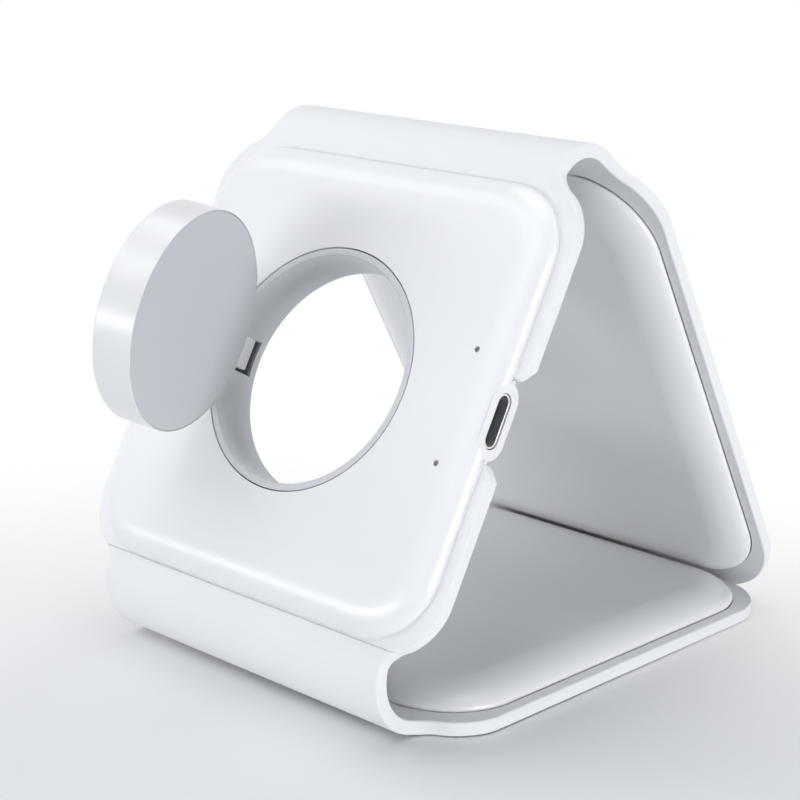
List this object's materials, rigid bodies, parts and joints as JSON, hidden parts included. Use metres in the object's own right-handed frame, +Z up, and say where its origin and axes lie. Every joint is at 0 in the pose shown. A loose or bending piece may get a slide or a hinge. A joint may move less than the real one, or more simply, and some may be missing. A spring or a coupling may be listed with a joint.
{
  "type": "folding wireless charger",
  "caption": "Folding wireless charger: charging pads on a soft white skin, stood up as a triangle, with a watch puck that swings out of a lined hole in the middle pad.",
  "frame": {"origin": "centre of the flat underside of the base panel, on the surface it stands on", "axes": "+X along the folds towards the charging port, +Y from the front panel to the free ends, +Z up"},
  "size_m": [0.08, 0.1287, 0.0914],
  "materials": {
    "skin": "matte white silicone",
    "pad": "satin white moulded plastic",
    "back": "satin white moulded plastic",
    "tray": "plain black moulded plastic",
    "ring": "satin pale grey plastic",
    "puck": "satin white plastic",
    "lid": "fine matte grey plastic",
    "copper": "enamelled copper winding",
    "ferrite": "dark sintered ferrite",
    "magnet": "nickel plated magnet",
    "board": "green solder mask",
    "chip": "black moulded package",
    "port_metal": "drawn stainless steel",
    "bezel": "glossy white plastic",
    "tongue": "black plastic with contacts",
    "light": "clear grey light pipe",
    "steel": "plain steel"
  },
  "bodies": {
    "base_panel": {"skin_base": "skin", "lower_bend": "skin", "base_cover": "pad", "base_tray": "tray", "base_ferrite": "ferrite", "base_coil": "copper"},
    "front_panel": {"skin_front": "skin", "upper_bend": "skin", "front_cover": "pad", "back_cover": "back", "ring_liner": "ring", "hinge_pin": "steel", "port_bezel": "bezel", "port_shell": "port_metal", "port_tongue": "tongue", "main_board": "board", "board_chips": "chip", "light_pipes": "light", "case_screws": "steel"},
    "rear_panel": {"skin_rear": "skin", "rear_cover": "pad", "rear_tray": "tray", "rear_ferrite": "ferrite", "rear_coil": "copper", "rear_magnets": "magnet"},
    "puck": {"puck_shell": "puck", "puck_lid": "lid", "puck_coil": "copper", "puck_ferrite": "ferrite", "puck_magnet": "magnet"}
  },
  "joints": [
    {"name": "lower_fold", "type": "hinge", "parent": "base_panel", "child": "front_panel", "pos_m": [0, -0.0586, 0.00414], "axis": [1, 0, 0], "range_deg": [0, 116.8], "deforming": ["lower_bend"]},
    {"name": "upper_fold", "type": "hinge", "parent": "front_panel", "child": "rear_panel", "pos_m": [0, -0.01385, 0.09342], "axis": [1, 0, 0], "range_deg": [0, 119.9], "deforming": ["upper_bend"]},
    {"name": "puck_swing", "type": "hinge", "parent": "front_panel", "child": "puck", "pos_m": [-0.02184, -0.04069, 0.05169], "axis": [0, 0.4509, 0.8926], "range_deg": [-17.35, 72.65]}
  ]
}
